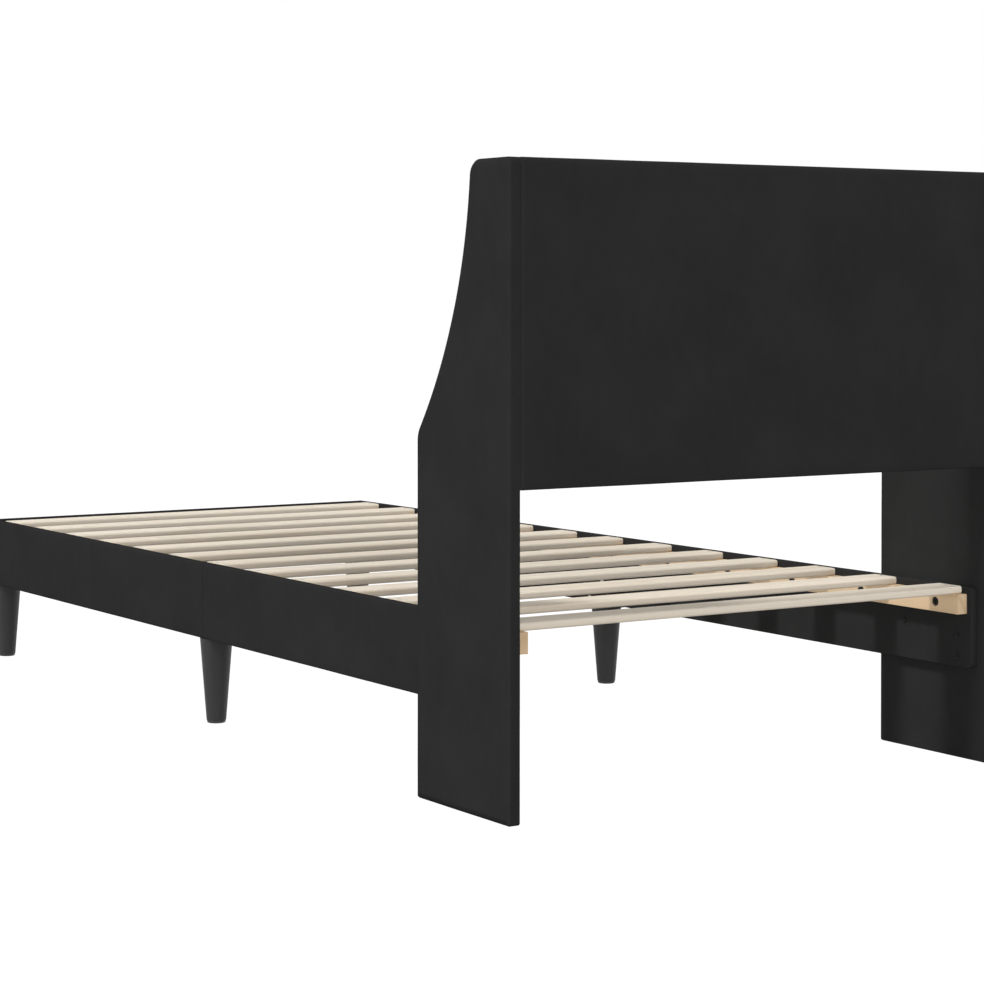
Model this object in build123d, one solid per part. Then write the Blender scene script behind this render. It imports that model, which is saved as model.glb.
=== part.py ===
from build123d import *
import os

# A single bed frame in black fabric. Two tall side wings stand on the floor with the
# headboard between them. Two side rails, each in two halves, run from the wings to a foot
# rail. Slats lie on battens, here called cleats, and four tapered legs carry the rails.
# Millimetres, +Z up, +Y towards the head. The origin is on the floor, under the middle.

# The whole bed
bed_length = 2070.0
bed_width = 977.0
bed_height = 990.0

# Covering, shared by every upholstered panel
fabric = 1.0
wadding = 1.5

# Room left round a bolt, screw, stem or nut in its hole, and how far a cut runs past a face
hole_room = 0.2
overrun = 5.0

# Wings: a straight foot, a round shoulder and a hollow front edge that leans back to the top
wing_board = 14.0
wing_depth = 259.0
wing_top_depth = 107.5
wing_shoulder_height = 571.0
wing_hollow_radius = 764.0
wing_shoulder_radius = 39.0
wing_top_radius = 25.0
wing_back_radius = 8.0
wing_foot_radius = 4.5
wing_rim_radius = 3.5

# Nailed glides under the wings
wing_glide_height = 1.0
wing_glide_radius = 7.5
wing_glide_inset = 30.0
wing_nail_radius = 1.2
wing_nail_length = 16.0

# Headboard: a batten frame with a thin board on each side and a foam pad in front
headboard_underside = 497.0
headboard_thickness = 40.0
headboard_frame = 18.0
headboard_board = 3.0
batten_width = 45.0
headboard_corner_radius = 2.0
pad_border = 26.0
pad_rise_shares = (0, 0.42, 0.7, 0.88, 0.97, 1)
pad_inset_shares = (0, 0.04, 0.16, 0.4, 0.72, 1.4)

# Rails
leg_height = 156.0
rail_height = 139.0
side_rail_board = 11.5
foot_rail_board = 16.0
rail_head_setback = 20.0
rail_head_radius = 12.0
rail_corner_radius = 3.0
side_joint_from_head = 1042.0

# Slats
slat_count = 13
slat_width = 58.0
slat_thickness = 13.0
slat_end_room = 3.5
slat_head_gap = 40.0
slat_foot_gap = 32.0
slat_edge_radius = 4.5

# Cleats on the rails, under the ends of the slats
cleat_width = 21.0
cleat_height = 33.0
cleat_head_setback = 31.0
cleat_joint_gap = 1.0
cleat_foot_gap = 12.0

# Blocks behind the rails, which take the legs
block_width = 40.0
block_height = 80.0
joint_block_length = 84.0
corner_block_length = 40.0

# Legs: turned, tapered, each with a glide below and a hanger bolt above
leg_top_radius = 30.0
leg_foot_radius = 18.0
leg_foot_edge = 1.0
leg_side_overhang = 1.5
leg_glide_height = 4.0
leg_glide_step = 0.8
leg_glide_edge = 1.2
stem_radius = 4.0
stem_length = 10.0
stud_radius = 4.0
stud_in_leg = 24.0
stud_in_block = 34.0

# Bolts from the rails into the wings, and from the headboard's stiles into the wings
bolt_radius = 3.0
bolt_head_radius = 5.0
bolt_head_height = 3.0
bolt_head_slope = 1.2
socket_width = 4.0
socket_depth = 2.0
nut_radius = 5.0
nut_length = 12.0
rail_bolt_depth_shares = (0.21, 0.21, 0.71)
rail_bolt_height_shares = (0.14, 0.4, 0.47)
headboard_bolt_height_shares = (0.16, 0.5, 0.84)

# Screws that hold the cleats
cleat_screw_from_head = 54.0
cleat_screw_from_foot = 40.0
cleat_screw_pitch = 187.0
cleat_screw_radius = 3.0
cleat_screw_grip = 9.0
cleat_head_radius = 7.5
cleat_head_height = 3.2
cleat_sink_radius = 8.0
cleat_sink_depth = 4.5

# Screws that hold the blocks
block_screw_radius = 2.5
block_screw_grip = 9.0
block_head_radius = 5.0
block_head_height = 3.0
block_screw_length_shares = (0.25, 0.75)
block_screw_height_shares = (0.2, 0.7)
corner_screw_share = 0.65
corner_screw_rise = 18.0

# Screws that hold the slats
slat_screw_from_end = 9.0
slat_screw_radius = 1.75
slat_head_radius = 3.5
slat_head_height = 2.4

# Places that follow from the sizes above
head_y = bed_length / 2
foot_y = -bed_length / 2
wing_padding = wadding + fabric
wing_thickness = wing_board + 2 * wing_padding
wing_inner_x = bed_width / 2 - wing_thickness
wing_middle_x = bed_width / 2 - wing_thickness / 2
wing_board_x = wing_inner_x + wing_padding
rail_edge_radius = 2 * fabric
side_rail_thickness = side_rail_board + 2 * fabric
foot_rail_thickness = foot_rail_board + 2 * fabric
rail_inner_x = wing_inner_x - side_rail_thickness
rail_top = leg_height + rail_height
foot_rail_inner_y = foot_y + foot_rail_thickness
head_rail_y = head_y - rail_head_setback
side_joint_y = head_y - side_joint_from_head
cleat_top = rail_top - slat_thickness
cleat_bottom = cleat_top - cleat_height
cleat_middle_z = cleat_top - cleat_height / 2
cleat_inner_x = rail_inner_x - cleat_width
leg_x = wing_inner_x + leg_side_overhang - leg_top_radius
foot_leg_y = foot_y + leg_top_radius


def bar_x(start, end, y, z, radius):
    """A round bar along X, from one place to another."""
    return Pos((start + end) / 2, y, z) * Rot(0, 90, 0) * Cylinder(radius, abs(end - start))


def bar_y(start, end, x, z, radius):
    """A round bar along Y, from one place to another."""
    return Pos(x, (start + end) / 2, z) * Rot(90, 0, 0) * Cylinder(radius, abs(end - start))


def bar_z(start, end, x, y, radius):
    """A round bar along Z, from one place to another."""
    return Pos(x, y, (start + end) / 2) * Cylinder(radius, abs(end - start))


def block(x_from, x_to, y_from, y_to, z_from, z_to):
    """A square-edged piece of wood between two corners."""
    middle = Pos((x_from + x_to) / 2, (y_from + y_to) / 2, (z_from + z_to) / 2)
    return middle * Box(abs(x_to - x_from), abs(y_to - y_from), abs(z_to - z_from))


def round_corner(face, corner, radius):
    """Rounds the corner of an outline that lies nearest to a point."""
    nearest = face.vertices().sort_by_distance(corner)[0]
    return fillet(nearest, radius)


def flat_panel(outline, thickness, inset):
    """A square-edged panel on the YZ plane, drawn in all round by a covering's thickness."""
    if inset:
        outline = offset(outline, amount=-inset)
    return Pos(inset, 0, 0) * extrude(outline, amount=thickness - 2 * inset, dir=(1, 0, 0))


def soft_panel(outline, thickness, inset, edge_radius):
    """The same panel with its rims rounded over, as fabric or wadding lies on it."""
    panel = flat_panel(outline, thickness, inset)
    sides = panel.faces().sort_by(Axis.X)
    rims = sides[0].edges() + sides[-1].edges()
    return fillet(rims, edge_radius - inset)


def both_sides(solids):
    """The right-hand pieces of a group and their mirror images on the left."""
    return Compound(solids + [mirror(solid, about=Plane.YZ) for solid in solids])


def socket_bolt_x(head_face, tip, y, z, radius, head_radius, head_height):
    """A round-headed bolt along X with a six-sided socket, its head on the inner side."""
    head_end = head_face - head_height
    body = bar_x(head_end, head_face, y, z, head_radius)
    body = chamfer(body.edges().sort_by(Axis.X)[0], bolt_head_slope)
    body += bar_x(head_face, tip, y, z, radius)
    hexagon = Plane.YZ * RegularPolygon(socket_width / 2, side_count=6)
    hexagon = Pos(head_end, y, z) * hexagon
    return body - extrude(hexagon, amount=socket_depth, dir=(1, 0, 0))


# Wings

def wing_outline():
    """The side of a wing: points run from the back of the foot round to the top of the back."""
    back_foot = (head_y, wing_glide_height)
    front_foot = (head_y - wing_depth, wing_glide_height)
    shoulder = (head_y - wing_depth, wing_shoulder_height)
    top_front = (head_y - wing_top_depth, bed_height)
    top_back = (head_y, bed_height)
    edges = [
        Line(back_foot, front_foot),
        Line(front_foot, shoulder),
        RadiusArc(shoulder, top_front, -wing_hollow_radius),
        Line(top_front, top_back),
        Line(top_back, back_foot),
    ]
    side = make_face(edges)
    side = round_corner(side, shoulder, wing_shoulder_radius)
    side = round_corner(side, top_front, wing_top_radius)
    side = round_corner(side, top_back, wing_back_radius)
    side = round_corner(side, front_foot, wing_foot_radius)
    side = round_corner(side, back_foot, wing_foot_radius)
    return Plane.YZ * side


def wing_layer(inset):
    """The right wing's solid, drawn in to the surface of its cover or of its wadding."""
    panel = soft_panel(wing_outline(), wing_thickness, inset, wing_rim_radius)
    return Pos(wing_inner_x, 0, 0) * panel


def rail_bolt_places():
    """Where the bolts cross from a side rail into its wing: distance along Y, and height."""
    places = []
    for depth_share, height_share in zip(rail_bolt_depth_shares, rail_bolt_height_shares):
        places.append((head_y - depth_share * wing_depth, leg_height + height_share * rail_height))
    return places


def headboard_bolt_places():
    """Where the bolts cross from a headboard stile into its wing."""
    y = head_y - fabric - headboard_board - headboard_frame / 2
    height = bed_height - headboard_underside
    return [(y, headboard_underside + share * height) for share in headboard_bolt_height_shares]


def wing_bolt_holes(radius):
    """Bars that cut the bolt holes through a wing from its inner face."""
    end = wing_board_x + nut_length + hole_room
    places = rail_bolt_places() + headboard_bolt_places()
    return [bar_x(wing_inner_x - overrun, end, y, z, radius) for y, z in places]


def wing_glide_places():
    """Where the two glides sit along the wing's lower edge."""
    return (head_y - wing_glide_inset, head_y - wing_depth + wing_glide_inset)


def wing_nail_holes():
    top = wing_glide_height + wing_nail_length + hole_room
    radius = wing_nail_radius + hole_room
    return [bar_z(0, top, wing_middle_x, y, radius) for y in wing_glide_places()]


def wing_parts():
    """Board, wadding and cover of the right wing, one inside the other."""
    skin = wing_layer(0)
    under_skin = wing_layer(fabric)
    core = Pos(wing_inner_x, 0, 0) * flat_panel(wing_outline(), wing_thickness, wing_padding)
    bolt_holes = wing_bolt_holes(bolt_radius + hole_room)
    nail_holes = wing_nail_holes()
    board = core - wing_bolt_holes(nut_radius + hole_room) - nail_holes
    padding = under_skin - core - bolt_holes - nail_holes
    cover = skin - under_skin - bolt_holes - nail_holes
    return board, padding, cover


def wing_glide(y):
    """A domed glide with its nail, driven up into the board."""
    disc = bar_z(0, wing_glide_height, wing_middle_x, y, wing_glide_radius)
    disc = chamfer(disc.edges().sort_by(Axis.Z)[0], wing_glide_height / 2)
    nail_top = wing_glide_height + wing_nail_length
    return disc + bar_z(wing_glide_height, nail_top, wing_middle_x, y, wing_nail_radius)


def wing_nut(y, z):
    """A threaded insert in the wing's board."""
    start = wing_board_x
    sleeve = bar_x(start, start + nut_length, y, z, nut_radius)
    return sleeve - bar_x(start - overrun, start + nut_length + overrun, y, z, bolt_radius + hole_room)


# Headboard

headboard_inner_half = wing_inner_x - fabric
headboard_low = headboard_underside + fabric
headboard_high = bed_height - fabric
back_board_y = head_y - fabric
frame_back_y = back_board_y - headboard_board
frame_front_y = frame_back_y - headboard_frame
pad_back_y = frame_front_y - headboard_board
pad_thickness = headboard_thickness - fabric - (head_y - pad_back_y)
stile_inner_x = headboard_inner_half - batten_width


def headboard_batten(z_from, z_to):
    """A batten across the whole width of the headboard."""
    half = headboard_inner_half
    return block(-half, half, frame_front_y, frame_back_y, z_from, z_to)


def headboard_stile():
    """The right end batten, drilled for the bolts into the wing."""
    z_from = headboard_low + batten_width
    z_to = headboard_high - batten_width
    stile = block(stile_inner_x, headboard_inner_half, frame_front_y, frame_back_y, z_from, z_to)
    for y, z in headboard_bolt_places():
        stile -= bar_x(stile_inner_x - overrun, wing_inner_x, y, z, bolt_radius + hole_room)
    return stile


def headboard_middle_stile():
    half = batten_width / 2
    z_from = headboard_low + batten_width
    z_to = headboard_high - batten_width
    return block(-half, half, frame_front_y, frame_back_y, z_from, z_to)


def headboard_panel(y_from, y_to):
    """A thin board that closes one side of the frame."""
    half = headboard_inner_half
    return block(-half, half, y_from, y_to, headboard_low, headboard_high)


def headboard_section(depth, inset, growth):
    """A rounded rectangle across the headboard, at a depth in front of the pad's back."""
    width = 2 * (headboard_inner_half + growth - inset)
    height = headboard_high - headboard_low + 2 * (growth - inset)
    middle_z = (headboard_high + headboard_low) / 2
    section = Plane.XZ * RectangleRounded(width, height, headboard_corner_radius + growth)
    return Pos(0, pad_back_y - depth, middle_z) * section


def headboard_pad(growth):
    """The crowned pad, or the space round it for the cover when it has a growth."""
    sections = []
    for rise, inset in zip(pad_rise_shares, pad_inset_shares):
        depth = rise * (pad_thickness + growth)
        sections.append(headboard_section(depth, inset * pad_border, growth))
    return loft(sections, ruled=True)


def headboard_core(growth, y_back):
    """The flat part of the headboard behind the pad, as one rounded solid."""
    section = headboard_section(0, 0, growth)
    return extrude(section, amount=y_back - pad_back_y, dir=(0, 1, 0))


def headboard_front_cover():
    """The cover over the pad and round the edges, open at the back."""
    skin = headboard_pad(fabric) + headboard_core(fabric, back_board_y)
    space = headboard_pad(0) + headboard_panel(pad_back_y, back_board_y)
    cover = skin - space
    for side in (1, -1):
        for y, z in headboard_bolt_places():
            hole = bar_x(stile_inner_x, wing_inner_x + overrun, y, z, bolt_radius + hole_room)
            cover -= hole if side == 1 else mirror(hole, about=Plane.YZ)
    return cover


def headboard_back_cover():
    """The flat back panel of fabric, sewn to the front cover along its edge."""
    section = headboard_section(0, 0, fabric)
    return Pos(0, back_board_y - pad_back_y, 0) * extrude(section, amount=fabric, dir=(0, 1, 0))


def headboard_bolt(y, z):
    tip = wing_board_x + nut_length
    return socket_bolt_x(stile_inner_x, tip, y, z, bolt_radius, bolt_head_radius, bolt_head_height)


# Rails

def side_rail_outline(y_head, y_foot, head_radius):
    """The side of a half rail, with its own radius at the corners of its head end."""
    corners = [(y_head, leg_height), (y_head, rail_top), (y_foot, rail_top), (y_foot, leg_height)]
    side = make_face(Polyline(*corners, close=True))
    radii = (head_radius, head_radius, rail_corner_radius, rail_corner_radius)
    for corner, radius in zip(corners, radii):
        side = round_corner(side, corner, radius)
    return Plane.YZ * side


def side_rail_parts(outline, through, blind):
    """Board and cover of a right half rail: holes for bolts go through, screw holes end blind."""
    place = Pos(rail_inner_x, 0, 0)
    skin = place * soft_panel(outline, side_rail_thickness, 0, rail_edge_radius)
    core = place * flat_panel(outline, side_rail_thickness, fabric)
    board = core - through - blind
    cover = skin - core - through - blind
    return board, cover


def rail_bolt_holes():
    end = wing_inner_x + overrun
    radius = bolt_radius + hole_room
    return [bar_x(rail_inner_x - overrun, end, y, z, radius) for y, z in rail_bolt_places()]


def rail_screw_holes(places, radius, grip):
    """Blind holes for the screws that come through a cleat or block on the inner face."""
    end = rail_inner_x + fabric + grip + hole_room
    return [bar_x(rail_inner_x - overrun, end, y, z, radius + hole_room) for y, z in places]


def foot_rail_outline():
    """The foot rail's long side, drawn like a side rail's before it is turned across the bed."""
    half = wing_inner_x
    corners = [(-half, leg_height), (-half, rail_top), (half, rail_top), (half, leg_height)]
    side = make_face(Polyline(*corners, close=True))
    for corner in corners:
        side = round_corner(side, corner, rail_corner_radius)
    return Plane.YZ * side


def foot_rail_parts():
    end = foot_rail_inner_y - fabric - block_screw_grip - hole_room
    radius = block_screw_radius + hole_room
    holes = [bar_y(end, foot_rail_inner_y + overrun, x, z, radius) for x, z in foot_screw_places()]
    holes += [mirror(hole, about=Plane.YZ) for hole in holes]
    place = Pos(0, foot_y, 0) * Rot(0, 0, 90)
    skin = place * soft_panel(foot_rail_outline(), foot_rail_thickness, 0, rail_edge_radius)
    core = place * flat_panel(foot_rail_outline(), foot_rail_thickness, fabric)
    return core - holes, skin - core - holes


# Cleats and slats

first_slat_y = head_y - slat_head_gap - slat_width / 2
last_slat_y = foot_rail_inner_y + slat_foot_gap + slat_width / 2
slat_pitch = (first_slat_y - last_slat_y) / (slat_count - 1)
slat_half_length = rail_inner_x - slat_end_room
slat_screw_x = slat_half_length - slat_screw_from_end
slat_screw_tip = cleat_middle_z + cleat_screw_radius + 2 * hole_room
head_cleat = (head_y - cleat_head_setback, side_joint_y + cleat_joint_gap)
foot_cleat = (side_joint_y - cleat_joint_gap, foot_rail_inner_y + cleat_foot_gap)


def slat_places():
    return [first_slat_y - index * slat_pitch for index in range(slat_count)]


def cleat_screw_places(y_from, y_to, setback):
    """Where the screws of one cleat stand: evenly from near the bed's end, as many as fit."""
    step = 1 if y_to > y_from else -1
    room = step * (y_to - y_from) - setback - cleat_sink_radius
    places = []
    for index in range(1 + int(room // cleat_screw_pitch)):
        y = y_from + step * (setback + index * cleat_screw_pitch)
        places.append((y, cleat_middle_z))
    return places


def cleat(y_from, y_to, screw_places):
    """A right cleat with sunk screw holes, and pilot holes for the slat screws."""
    wood = block(cleat_inner_x, rail_inner_x, y_from, y_to, cleat_bottom, cleat_top)
    sink_end = cleat_inner_x + cleat_sink_depth
    for y, z in screw_places:
        wood -= bar_x(cleat_inner_x - overrun, sink_end, y, z, cleat_sink_radius)
        wood -= bar_x(sink_end - overrun, rail_inner_x + overrun, y, z, cleat_screw_radius + hole_room)
    pilot = slat_screw_radius + hole_room
    for y in slat_places():
        if y_to + pilot < y < y_from - pilot:
            wood -= bar_z(slat_screw_tip - hole_room, cleat_top + overrun, slat_screw_x, y, pilot)
    return wood


def cleat_screw(y, z):
    """A flat-headed screw in its sunk hole, through the cleat and into the rail."""
    head_face = cleat_inner_x + cleat_sink_depth
    tip = rail_inner_x + fabric + cleat_screw_grip
    head = bar_x(head_face - cleat_head_height, head_face, y, z, cleat_head_radius)
    return head + bar_x(head_face, tip, y, z, cleat_screw_radius)


def slat(y):
    """A slat with rounded long edges and a countersunk hole at each end."""
    section = Plane.YZ * RectangleRounded(slat_width, slat_thickness, slat_edge_radius)
    section = Pos(-slat_half_length, y, rail_top - slat_thickness / 2) * section
    wood = extrude(section, amount=2 * slat_half_length, dir=(1, 0, 0))
    tool = slat_screw_hole(y)
    return wood - tool - mirror(tool, about=Plane.YZ)


def slat_screw_hole(y):
    shank = bar_z(cleat_top - overrun, rail_top, slat_screw_x, y, slat_screw_radius + hole_room)
    sink = slat_screw_head(y, hole_room)
    return shank + sink


def slat_screw_head(y, room):
    """The countersunk head, or the room for it, level with the top of the slat."""
    cone = Cone(slat_screw_radius + room, slat_head_radius + room, slat_head_height)
    return Pos(slat_screw_x, y, rail_top - slat_head_height / 2) * cone


def slat_screw(y):
    shank_top = rail_top - slat_head_height
    shank = bar_z(slat_screw_tip, shank_top, slat_screw_x, y, slat_screw_radius)
    return shank + slat_screw_head(y, 0)


# Legs and the blocks that take them

block_inner_x = rail_inner_x - block_width
block_top = leg_height + block_height
corner_block_y = foot_rail_inner_y + corner_block_length
corner_screw_y = foot_rail_inner_y + corner_screw_share * corner_block_length
corner_screw_x = rail_inner_x - corner_screw_share * block_width


def joint_screw_places():
    """Four screws through the joint block, two into each half rail."""
    start = side_joint_y - joint_block_length / 2
    places = []
    for length_share in block_screw_length_shares:
        for height_share in block_screw_height_shares:
            y = start + length_share * joint_block_length
            places.append((y, leg_height + height_share * block_height))
    return places


def corner_screw_places():
    """Two screws through the corner block into the side rail."""
    return [(corner_screw_y, leg_height + share * block_height) for share in block_screw_height_shares]


def foot_screw_places():
    """Two screws through the corner block into the foot rail, above those into the side rail."""
    places = []
    for share in block_screw_height_shares:
        places.append((corner_screw_x, leg_height + share * block_height + corner_screw_rise))
    return places


def joint_block():
    """The block across the joint of the half rails, with its leg's stud hole."""
    half = joint_block_length / 2
    y_from = side_joint_y - half
    y_to = side_joint_y + half
    wood = block(block_inner_x, rail_inner_x, y_from, y_to, leg_height, block_top)
    radius = block_screw_radius + hole_room
    for y, z in joint_screw_places():
        wood -= bar_x(block_inner_x - overrun, rail_inner_x + overrun, y, z, radius)
    return wood - stud_hole(side_joint_y)


def corner_block():
    """The block in the foot corner, screwed to both rails."""
    y_from = foot_rail_inner_y
    wood = block(block_inner_x, rail_inner_x, y_from, corner_block_y, leg_height, block_top)
    radius = block_screw_radius + hole_room
    for y, z in corner_screw_places():
        wood -= bar_x(block_inner_x - overrun, rail_inner_x + overrun, y, z, radius)
    for x, z in foot_screw_places():
        wood -= bar_y(y_from - overrun, corner_block_y + overrun, x, z, radius)
    return wood - stud_hole(foot_leg_y)


def block_screw_x(y, z):
    """A screw through a block into a side rail."""
    tip = rail_inner_x + fabric + block_screw_grip
    head = bar_x(block_inner_x - block_head_height, block_inner_x, y, z, block_head_radius)
    return head + bar_x(block_inner_x, tip, y, z, block_screw_radius)


def block_screw_y(x, z):
    """A screw through a corner block into the foot rail."""
    tip = foot_rail_inner_y - fabric - block_screw_grip
    head = bar_y(corner_block_y, corner_block_y + block_head_height, x, z, block_head_radius)
    return head + bar_y(tip, corner_block_y, x, z, block_screw_radius)


def stud_hole(y):
    top = leg_height + stud_in_block + hole_room
    return bar_z(leg_height - overrun, top, leg_x, y, stud_radius + hole_room)


def leg(y):
    """A round tapered leg with a hole for the stud above and for the glide's stem below."""
    height = leg_height - leg_glide_height
    cone = Pos(leg_x, y, leg_glide_height + height / 2) * Cone(leg_foot_radius, leg_top_radius, height)
    turned = chamfer(cone.edges().sort_by(Axis.Z)[0], leg_foot_edge)
    stud_end = leg_height - stud_in_leg - hole_room
    turned -= bar_z(stud_end, leg_height + overrun, leg_x, y, stud_radius + hole_room)
    stem_end = leg_glide_height + stem_length + hole_room
    return turned - bar_z(0, stem_end, leg_x, y, stem_radius + hole_room)


def leg_glide(y):
    """A plastic glide under a leg, with a stem that plugs into it."""
    disc = bar_z(0, leg_glide_height, leg_x, y, leg_foot_radius - leg_glide_step)
    disc = chamfer(disc.edges().sort_by(Axis.Z)[0], leg_glide_edge)
    return disc + bar_z(leg_glide_height, leg_glide_height + stem_length, leg_x, y, stem_radius)


def leg_stud(y):
    return bar_z(leg_height - stud_in_leg, leg_height + stud_in_block, leg_x, y, stud_radius)


def rail_bolt(y, z):
    tip = wing_board_x + nut_length
    return socket_bolt_x(rail_inner_x, tip, y, z, bolt_radius, bolt_head_radius, bolt_head_height)


# Assembly: every piece is built on the right, +X, and mirrored for the left

nodes = {}


def add_pair(name, piece):
    """Keeps a right-hand piece and its mirror image under their own names."""
    nodes[name.replace("SIDE", "right")] = piece
    nodes[name.replace("SIDE", "left")] = mirror(piece, about=Plane.YZ)


wing_board_solid, wing_wadding, wing_cover = wing_parts()
add_pair("wing_SIDE_board", wing_board_solid)
add_pair("wing_SIDE_wadding", wing_wadding)
add_pair("wing_SIDE_cover", wing_cover)
nodes["wing_glides"] = both_sides([wing_glide(y) for y in wing_glide_places()])
nut_places = rail_bolt_places() + headboard_bolt_places()
nodes["wing_nuts"] = both_sides([wing_nut(y, z) for y, z in nut_places])

nodes["headboard_top_rail"] = headboard_batten(headboard_high - batten_width, headboard_high)
nodes["headboard_bottom_rail"] = headboard_batten(headboard_low, headboard_low + batten_width)
add_pair("headboard_SIDE_stile", headboard_stile())
nodes["headboard_middle_stile"] = headboard_middle_stile()
nodes["headboard_back_board"] = headboard_panel(frame_back_y, back_board_y)
nodes["headboard_front_board"] = headboard_panel(pad_back_y, frame_front_y)
nodes["headboard_foam"] = headboard_pad(0)
nodes["headboard_front_cover"] = headboard_front_cover()
nodes["headboard_back_cover"] = headboard_back_cover()
nodes["headboard_bolts"] = both_sides([headboard_bolt(y, z) for y, z in headboard_bolt_places()])

head_cleat_screws = cleat_screw_places(*head_cleat, cleat_screw_from_head)
foot_cleat_screws = cleat_screw_places(*reversed(foot_cleat), cleat_screw_from_foot)
joint_screws = joint_screw_places()
head_joint_screws = [place for place in joint_screws if place[0] > side_joint_y]
foot_joint_screws = [place for place in joint_screws if place[0] < side_joint_y]

head_holes = rail_screw_holes(head_cleat_screws, cleat_screw_radius, cleat_screw_grip)
head_holes += rail_screw_holes(head_joint_screws, block_screw_radius, block_screw_grip)
head_outline = side_rail_outline(head_rail_y, side_joint_y, rail_head_radius)
head_board, head_cover = side_rail_parts(head_outline, rail_bolt_holes(), head_holes)
add_pair("rail_SIDE_head_board", head_board)
add_pair("rail_SIDE_head_cover", head_cover)

foot_holes = rail_screw_holes(foot_cleat_screws, cleat_screw_radius, cleat_screw_grip)
foot_block_screws = foot_joint_screws + corner_screw_places()
foot_holes += rail_screw_holes(foot_block_screws, block_screw_radius, block_screw_grip)
foot_outline = side_rail_outline(side_joint_y, foot_rail_inner_y, rail_corner_radius)
foot_board, foot_cover = side_rail_parts(foot_outline, [], foot_holes)
add_pair("rail_SIDE_foot_board", foot_board)
add_pair("rail_SIDE_foot_cover", foot_cover)
nodes["foot_rail_board"], nodes["foot_rail_cover"] = foot_rail_parts()
nodes["rail_bolts"] = both_sides([rail_bolt(y, z) for y, z in rail_bolt_places()])

add_pair("cleat_SIDE_head", cleat(*head_cleat, head_cleat_screws))
add_pair("cleat_SIDE_foot", cleat(*foot_cleat, foot_cleat_screws))
cleat_screws = [cleat_screw(y, z) for y, z in head_cleat_screws + foot_cleat_screws]
nodes["cleat_screws"] = both_sides(cleat_screws)

for number, place in enumerate(slat_places(), start=1):
    nodes[f"slat_{number:02d}"] = slat(place)
nodes["slat_screws"] = both_sides([slat_screw(y) for y in slat_places()])

add_pair("joint_block_SIDE", joint_block())
add_pair("corner_block_SIDE", corner_block())
block_screws = [block_screw_x(y, z) for y, z in joint_screws + corner_screw_places()]
block_screws += [block_screw_y(x, z) for x, z in foot_screw_places()]
nodes["block_screws"] = both_sides(block_screws)

add_pair("leg_SIDE_middle", leg(side_joint_y))
add_pair("leg_SIDE_foot", leg(foot_leg_y))
nodes["leg_glides"] = both_sides([leg_glide(side_joint_y), leg_glide(foot_leg_y)])
nodes["leg_studs"] = both_sides([leg_stud(side_joint_y), leg_stud(foot_leg_y)])

os.makedirs("parts", exist_ok=True)
for name, shape in nodes.items():
    export_step(shape, f"parts/{name}.step")
print(len(nodes), "nodes written")
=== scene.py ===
import math

import bmesh
import bpy
from mathutils import Matrix, Vector, kdtree, noise


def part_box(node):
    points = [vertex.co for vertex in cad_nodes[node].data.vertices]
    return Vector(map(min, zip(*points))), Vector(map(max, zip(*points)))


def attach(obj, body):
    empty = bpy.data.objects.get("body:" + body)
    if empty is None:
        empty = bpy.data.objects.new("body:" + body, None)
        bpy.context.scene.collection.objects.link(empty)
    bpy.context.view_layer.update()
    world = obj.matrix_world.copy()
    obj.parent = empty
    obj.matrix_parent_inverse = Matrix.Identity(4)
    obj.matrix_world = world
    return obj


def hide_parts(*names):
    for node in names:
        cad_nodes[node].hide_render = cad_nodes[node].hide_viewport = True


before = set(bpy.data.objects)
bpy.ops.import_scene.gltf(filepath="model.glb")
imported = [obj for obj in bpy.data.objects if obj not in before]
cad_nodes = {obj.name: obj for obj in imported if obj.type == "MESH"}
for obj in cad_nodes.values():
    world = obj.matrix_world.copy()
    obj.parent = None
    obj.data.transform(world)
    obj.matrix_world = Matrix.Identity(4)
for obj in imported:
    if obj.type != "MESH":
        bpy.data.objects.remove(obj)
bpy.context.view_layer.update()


# Wing boards: an upright particle board on each side of the headboard, sawn to the wing's
# outline with a round shoulder and a hollow front edge. It takes the threaded inserts for
# the bolts and is wholly covered, so its pressed chips show only with the cover off.

def feed(tree, socket, value):
    """Gives a shader socket a number, or links another node's socket to it."""
    if isinstance(value, bpy.types.NodeSocket):
        tree.links.new(value, socket)
    else:
        socket.default_value = value


def shader_node(tree, kind, inputs=None, **settings):
    """Adds a shader node with its settings and feeds its inputs by name or by number."""
    made = tree.nodes.new("ShaderNode" + kind)
    for name, value in settings.items():
        setattr(made, name, value)
    for socket, value in (inputs or {}).items():
        feed(tree, made.inputs[socket], value)
    return made


def reckon(tree, operation, first, second=0.0):
    """The result of a sum on one or two values of a material."""
    return shader_node(tree, "Math", {0: first, 1: second}, operation=operation).outputs[0]


def vary(tree, pattern, low, span):
    """A value that starts at low and rises by span as a pattern goes from 0 to 1."""
    return reckon(tree, "ADD", low, reckon(tree, "MULTIPLY", pattern, span))


def stretch(tree, place, scale):
    """A place multiplied by a vector, so that a pattern runs longer one way."""
    return shader_node(tree, "VectorMath", {0: place, 1: scale}, operation="MULTIPLY").outputs[0]


def clouds(tree, place, scale, detail):
    """Soft patches between 0 and 1; scale is how many there are to a metre."""
    inputs = {"Vector": place, "Scale": scale, "Detail": detail}
    return shader_node(tree, "TexNoise", inputs).outputs[0]


def mix_colours(tree, share, first, second):
    """A colour between two others."""
    inputs = {0: share, 6: first, 7: second}
    return shader_node(tree, "Mix", inputs, data_type="RGBA").outputs[2]


def shade(tree, colour, factor):
    """A colour made lighter or darker by a factor."""
    inputs = {0: colour, "Scale": factor}
    return shader_node(tree, "VectorMath", inputs, operation="SCALE").outputs[0]


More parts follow.
